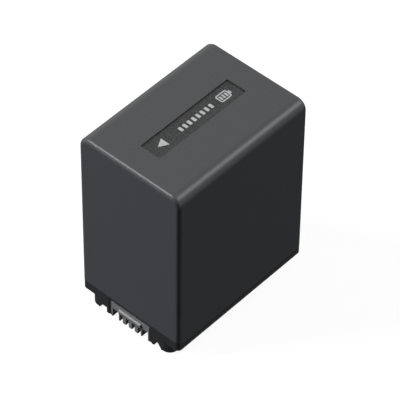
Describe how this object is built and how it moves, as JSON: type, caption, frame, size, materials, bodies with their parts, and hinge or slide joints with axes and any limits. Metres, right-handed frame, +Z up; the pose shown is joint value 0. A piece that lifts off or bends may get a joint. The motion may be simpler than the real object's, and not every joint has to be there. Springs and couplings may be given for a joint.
{
  "type": "camera battery",
  "caption": "Rectangular rechargeable battery pack for a camcorder: rounded upper case on a base with slide-on rails and a slotted terminal holder at one end.",
  "frame": {"origin": "on the platform's underside, below the middle of the case", "axes": "+Z up out of the base, -Y towards the terminal end, X across the width"},
  "size_m": [0.0318, 0.0455, 0.0558],
  "materials": {
    "case_plastic": "fine matt texture",
    "base_plastic": "fine matt texture",
    "holder_plastic": "smooth matt",
    "contact_plating": "gold plated",
    "board_laminate": "solder resist",
    "chip_resin": "matt",
    "chip_ceramic": "matt",
    "cell_sleeve": "shrunk sleeve",
    "nickel_strip": "nickel plated",
    "lead_sleeve": "smooth",
    "fibre_sheet": "fibre",
    "foam": "open foam"
  },
  "bodies": {
    "root": {"upper_case": "case_plastic", "base_cover": "base_plastic", "rail_platform": "base_plastic", "terminal_holder": "holder_plastic", "contact_positive": "contact_plating", "contact_negative": "contact_plating", "contact_signal_1": "contact_plating", "contact_signal_2": "contact_plating", "contact_signal_3": "contact_plating", "contact_signal_4": "contact_plating", "circuit_board": "board_laminate", "gauge_chip": "chip_resin", "protection_chip": "chip_resin", "switch_transistor_1": "chip_resin", "switch_transistor_2": "chip_resin", "sense_resistor": "chip_ceramic", "chip_fuse": "chip_ceramic", "thermistor": "chip_ceramic", "chip_capacitors": "chip_ceramic", "cell_1": "cell_sleeve", "cell_2": "cell_sleeve", "cell_3": "cell_sleeve", "cell_4": "cell_sleeve", "cell_5": "cell_sleeve", "cell_6": "cell_sleeve", "series_plate": "nickel_strip", "positive_strap": "nickel_strip", "negative_strap": "nickel_strip", "mid_tap_lead": "lead_sleeve", "support_sheet": "fibre_sheet", "top_pad": "foam"}
  },
  "joints": []
}
